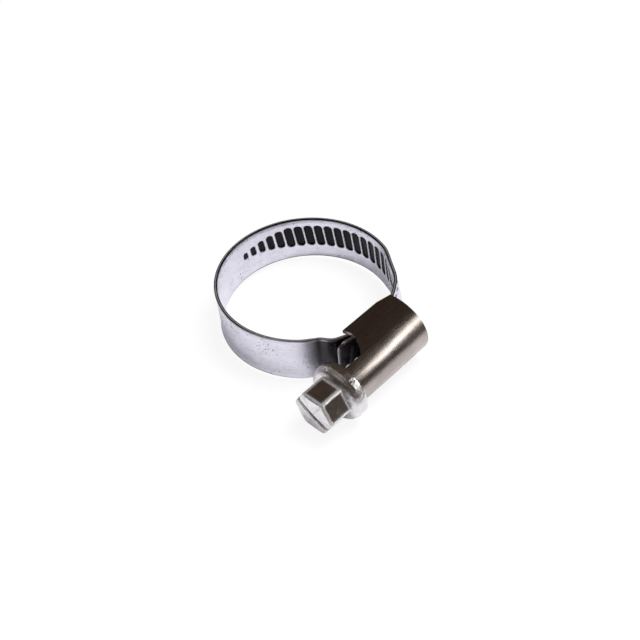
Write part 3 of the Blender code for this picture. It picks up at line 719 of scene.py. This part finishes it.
def cut_finish():
    """Sheared and tumbled edge of the housing's sheet: paler and duller than its faces."""
    mat, tree, shader = started("tumbled_cut_edge", 0.38, metal=0.8)
    solid = add(tree, "ShaderNodeTexCoord").outputs["Object"]
    # Tumbling nicks, about 0.4 mm apart.
    nicks = add(tree, "ShaderNodeTexNoise", {"Vector": solid, "Scale": 2.5 / MM}).outputs["Fac"]
    shade = add(tree, "ShaderNodeMapRange", {"Value": nicks, "From Min": 0.3, "From Max": 0.7,
                                             "To Min": 0.7, "To Max": 1.0}).outputs["Result"]
    tone = add(tree, "ShaderNodeVectorMath", {0: tuple(colours().zinc), "Scale": shade},
               operation="SCALE")
    tree.links.new(tone.outputs[0], shader.inputs["Base Color"])
    return mat


def zinc_finish():
    """Bright zinc over cold-formed steel.

    The forming dies leave shallow dents about half a millimetre across, and the plating
    over them breaks the lamp's reflection into rough glints.
    """
    mat, tree, shader = started("bright_zinc_plating", 0.25)
    solid = add(tree, "ShaderNodeTexCoord").outputs["Object"]
    # Dents about 0.5 mm apart, under stains about 1.7 mm across.
    dents = add(tree, "ShaderNodeTexNoise", {"Vector": solid, "Scale": 1.9 / MM, "Detail": 3.0,
                                             "Roughness": 0.6}).outputs["Fac"]
    cloud = add(tree, "ShaderNodeTexNoise", {"Vector": solid, "Scale": 0.6 / MM, "Detail": 4.0,
                                             "Roughness": 0.6}).outputs["Fac"]
    shade = add(tree, "ShaderNodeMapRange", {"Value": cloud, "From Min": 0.3, "From Max": 0.7,
                                             "To Min": 0.8, "To Max": 1.05}).outputs["Result"]
    tone = add(tree, "ShaderNodeVectorMath", {0: tuple(colours().zinc), "Scale": shade},
               operation="SCALE")
    tree.links.new(tone.outputs[0], shader.inputs["Base Color"])
    # The flange's dome isn't wiped by a die, so its plating stays duller than the hexagon's.
    place = add(tree, "ShaderNodeSeparateXYZ", {0: solid}).outputs["X"]
    dome = add(tree, "ShaderNodeMapRange", {"Value": place, "From Min": -14.7 * MM,
                                            "From Max": -14.3 * MM}).outputs["Result"]
    worm = add(tree, "ShaderNodeMapRange", {"Value": place, "From Min": -12.2 * MM,
                                            "From Max": -11.6 * MM, "To Min": 1.0,
                                            "To Max": 0.0}).outputs["Result"]
    dull = add(tree, "ShaderNodeMath", {0: dome, 1: worm}, operation="MULTIPLY").outputs[0]
    # Tumbling rounds and dulls the hexagon's edges, which then catch light from all round.
    worn = add(tree, "ShaderNodeAttribute", attribute_name="worn").outputs["Fac"]
    metal = add(tree, "ShaderNodeMapRange", {"Value": worn, "To Min": 1.0, "To Max": 0.7})
    tree.links.new(metal.outputs["Result"], shader.inputs["Metallic"])
    dull = add(tree, "ShaderNodeMath", {0: dull, 1: worn}, operation="MAXIMUM").outputs[0]
    smooth = add(tree, "ShaderNodeMapRange", {"Value": dents, "From Min": 0.3, "From Max": 0.7,
                                              "To Min": 0.12, "To Max": 0.22}).outputs["Result"]
    rough = add(tree, "ShaderNodeMath", {0: dull, 1: 0.15, 2: smooth}, operation="MULTIPLY_ADD")
    tree.links.new(rough.outputs[0], shader.inputs["Roughness"])
    strength = add(tree, "ShaderNodeMapRange", {"Value": dull, "To Min": 0.16,
                                                "To Max": 0.8}).outputs["Result"]
    bump = add(tree, "ShaderNodeBump", {"Height": dents, "Strength": strength,
                                        "Distance": 0.16 * MM})
    tree.links.new(bump.outputs["Normal"], shader.inputs["Normal"])
    return mat


def floor_finish():
    """White board, plain and matt: it gives the eye nothing but the clamp's faint shadow."""
    mat, tree, shader = started("white_board", 0.9, metal=0.0)
    solid = add(tree, "ShaderNodeTexCoord").outputs["Object"]
    # Paper tooth, about 1 mm across and too faint to read as a pattern.
    tooth = add(tree, "ShaderNodeTexNoise", {"Vector": solid, "Scale": 0.9 / MM}).outputs["Fac"]
    shade = add(tree, "ShaderNodeMapRange", {"Value": tooth, "From Min": 0.3, "From Max": 0.7,
                                             "To Min": 0.995, "To Max": 1.0}).outputs["Result"]
    tone = add(tree, "ShaderNodeVectorMath", {0: tuple(colours().floor), "Scale": shade},
               operation="SCALE")
    tree.links.new(tone.outputs[0], shader.inputs["Base Color"])
    # The lit board is small: what the steel mirrors beyond it is the dim room.
    away = add(tree, "ShaderNodeVectorMath", {0: solid}, operation="LENGTH").outputs["Value"]
    beyond = add(tree, "ShaderNodeMapRange", {"Value": away, "From Min": 35.0 * MM,
                                              "From Max": 70.0 * MM}).outputs["Result"]
    path = add(tree, "ShaderNodeLightPath")
    hidden = add(tree, "ShaderNodeMath", {0: beyond, 1: path.outputs["Is Glossy Ray"]},
                 operation="MULTIPLY").outputs[0]
    room = add(tree, "ShaderNodeEmission", {"Color": (*colours().room, 1.0)})
    mix = add(tree, "ShaderNodeMixShader", {0: hidden, 1: shader.outputs[0], 2: room.outputs[0]})
    # The board is lit to white, with only a trace of the clamp's shadow left.
    white = add(tree, "ShaderNodeEmission", {"Color": (*linear("#FFFFFF"), 1.0)})
    seen = add(tree, "ShaderNodeMath", {0: path.outputs["Is Camera Ray"], 1: 0.87},
               operation="MULTIPLY").outputs[0]
    last = add(tree, "ShaderNodeMixShader", {0: seen, 1: mix.outputs[0], 2: white.outputs[0]})
    tree.links.new(last.outputs[0], tree.nodes["Material Output"].inputs["Surface"])
    return mat


def painted(obj, mat):
    obj.data.materials.clear()
    obj.data.materials.append(mat)


# The stage

def lay_floor():
    """A floor just under the band's lower edge."""
    bm = bmesh.new()
    bmesh.ops.create_grid(bm, x_segments=8, y_segments=8, size=FLOOR_HALF)
    bmesh.ops.translate(bm, vec=(0, 0, CAD_LOW.z - FLOOR_DROP), verts=bm.verts)
    floor = finished("floor", bm)
    if floor.data.polygons[0].normal.z < 0:
        floor.data.flip_normals()
    floor.data.materials.append(floor_finish())


def light_room():
    """Even light from all round, in which the steel mirrors the dim room."""
    world = bpy.data.worlds.new("room")
    bpy.context.scene.world = world
    world.use_nodes = True
    tree = world.node_tree
    tree.nodes.clear()
    c = colours()
    glossy = add(tree, "ShaderNodeLightPath").outputs["Is Glossy Ray"]
    mix = add(tree, "ShaderNodeMix", {0: glossy, 6: (*c.soft_light, 1.0), 7: (*c.room, 1.0)},
              data_type="RGBA")
    back = add(tree, "ShaderNodeBackground", {"Color": mix.outputs[2]})
    add(tree, "ShaderNodeOutputWorld", {"Surface": back.outputs[0]})


def hang_lamp(name, azimuth, elevation, away, size, power, mirrored):
    """A soft rectangular lamp facing the clamp, level, seen in the steel if mirrored."""
    data = bpy.data.lights.new(name, "AREA")
    data.shape, data.size, data.size_y, data.energy = "RECTANGLE", *size, power
    obj = bpy.data.objects.new(name, data)
    bpy.context.scene.collection.objects.link(obj)
    a, e = math.radians(azimuth), math.radians(elevation)
    back = Vector((math.cos(a) * math.cos(e), math.sin(a) * math.cos(e), math.sin(e)))
    right = Vector((-math.sin(a), math.cos(a), 0.0))
    place = Matrix((right, back.cross(right), back)).transposed().to_4x4()
    place.translation = back * away
    obj.matrix_world = place
    obj.visible_glossy = mirrored


def set_camera():
    """A level camera turned to its azimuth and elevation, then rolled."""
    data = bpy.data.cameras.new("camera")
    data.lens, data.sensor_width = LENS, SENSOR
    data.clip_start, data.clip_end = 0.005, 10.0
    data.dof.use_dof = False
    obj = bpy.data.objects.new("camera", data)
    bpy.context.scene.collection.objects.link(obj)
    a, e, roll = (math.radians(v) for v in CAMERA_TURN)
    back = Vector((math.sin(a) * math.cos(e), -math.cos(a) * math.cos(e), math.sin(e)))
    right = Vector((math.cos(a), math.sin(a), 0.0))
    up = back.cross(right)
    turned = math.cos(roll) * right + math.sin(roll) * up
    upper = -math.sin(roll) * right + math.cos(roll) * up
    place = Matrix((turned, upper, back)).transposed().to_4x4()
    place.translation = Vector(CAMERA_PLACE) * MM
    obj.matrix_world = place
    bpy.context.scene.camera = obj


# The pieces

class CLAMP_OT_band(bpy.types.Operator):
    """Builds the band as one strip in lengths that bend into each other"""
    bl_idname = "clamp.band"
    bl_label = "Band"

    def execute(self, context):
        s = sizes()
        start, tip = band_ends()
        line = BandLine(start, tip, s.thickness)
        hinges = hinge_psis()
        middles = [(a + b) / 2 for a, b in zip(hinges, hinges[1:])]
        ends = [start, JOGGLE_END, *middles, TAIL_START, tip]
        arcs = len(middles)
        names = ["strip_fixed_end", *[f"strip_{i}" for i in range(1, arcs + 2)], "strip_free_end"]
        ribs = rib_middles(line)
        mat = strip_finish()
        for i, name in enumerate(names):
            obj = strip(name, line, ends[i], ends[i + 1], ribs, name == "strip_free_end")
            painted(obj, mat)
            if name == "strip_fixed_end":
                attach(obj, "base")
                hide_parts("band_fixed_end")
            elif name == "strip_free_end":
                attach(obj, "band_tail")
                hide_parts("band_free_end")
            else:
                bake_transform(obj)
                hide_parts(f"band_arc_{i}" if i <= arcs else "band_free_end")
        return {"FINISHED"}


class CLAMP_OT_housing(bpy.types.Operator):
    """Rounds the cut edges of the folded housing"""
    bl_idname = "clamp.housing"
    bl_label = "Housing"

    def execute(self, context):
        bm = bmesh.new()
        bm.from_mesh(frame["nodes"]["housing"].data)
        bmesh.ops.remove_doubles(bm, verts=bm.verts, dist=WELD)
        bmesh.ops.dissolve_limit(bm, angle_limit=math.radians(0.5), verts=bm.verts,
                                 edges=bm.edges)
        obj = finished("housing_sheet", bm, "base")
        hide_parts("housing")
        painted(obj, housing_finish())
        obj.data.materials.append(cut_finish())
        bevelled(obj, sizes().edge_round, 40.0, 3, material=1)
        return {"FINISHED"}


class CLAMP_OT_screw(bpy.types.Operator):
    """Builds the slotted hexagon screw: flange, head, neck and worm"""
    bl_idname = "clamp.screw"
    bl_label = "Screw"

    def execute(self, context):
        mat = zinc_finish()
        parts = [flange(), hexagon()]
        cut(parts[1], slot_cutter())
        head = joined("screw_head", parts, "screw")
        wear(head.data)
        bevelled(head, 0.07 * MM, 50.0, 2)
        worm = joined("screw_worm", [core(), worm_ridge()], "screw")
        for obj in (head, worm):
            painted(obj, mat)
            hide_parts("worm_screw")
        return {"FINISHED"}


class CLAMP_OT_stage(bpy.types.Operator):
    """Adds the floor, the dim room, the lamps and the camera"""
    bl_idname = "clamp.stage"
    bl_label = "Stage"

    def execute(self, context):
        lay_floor()
        light_room()
        for lamp in LAMPS:
            hang_lamp(*lamp)
        set_camera()
        context.scene.view_settings.view_transform = "Standard"
        return {"FINISHED"}


class CLAMP_PT_panel(bpy.types.Panel):
    """Lists the sizes, the colours and the pieces"""
    bl_idname = "CLAMP_PT_panel"
    bl_label = "Hose clamp"
    bl_space_type = "VIEW_3D"
    bl_region_type = "UI"
    bl_category = "Hose clamp"

    def draw(self, context):
        for group in (context.scene.clamp_sizes, context.scene.clamp_colours):
            for key in group.__annotations__:
                self.layout.prop(group, key)
        for operator in OPERATORS:
            self.layout.operator(operator.bl_idname)


OPERATORS = (CLAMP_OT_band, CLAMP_OT_housing, CLAMP_OT_screw, CLAMP_OT_stage)
CLASSES = (ClampSizes, ClampColours, *OPERATORS, CLAMP_PT_panel)


def register():
    for cls in CLASSES:
        bpy.utils.register_class(cls)
    bpy.types.Scene.clamp_sizes = PointerProperty(type=ClampSizes)
    bpy.types.Scene.clamp_colours = PointerProperty(type=ClampColours)


def unregister():
    del bpy.types.Scene.clamp_colours
    del bpy.types.Scene.clamp_sizes
    for cls in reversed(CLASSES):
        bpy.utils.unregister_class(cls)


def main():
    register()
    bpy.ops.clamp.band()
    bpy.ops.clamp.housing()
    bpy.ops.clamp.screw()
    bpy.ops.clamp.stage()


if __name__ == "__main__":
    main()
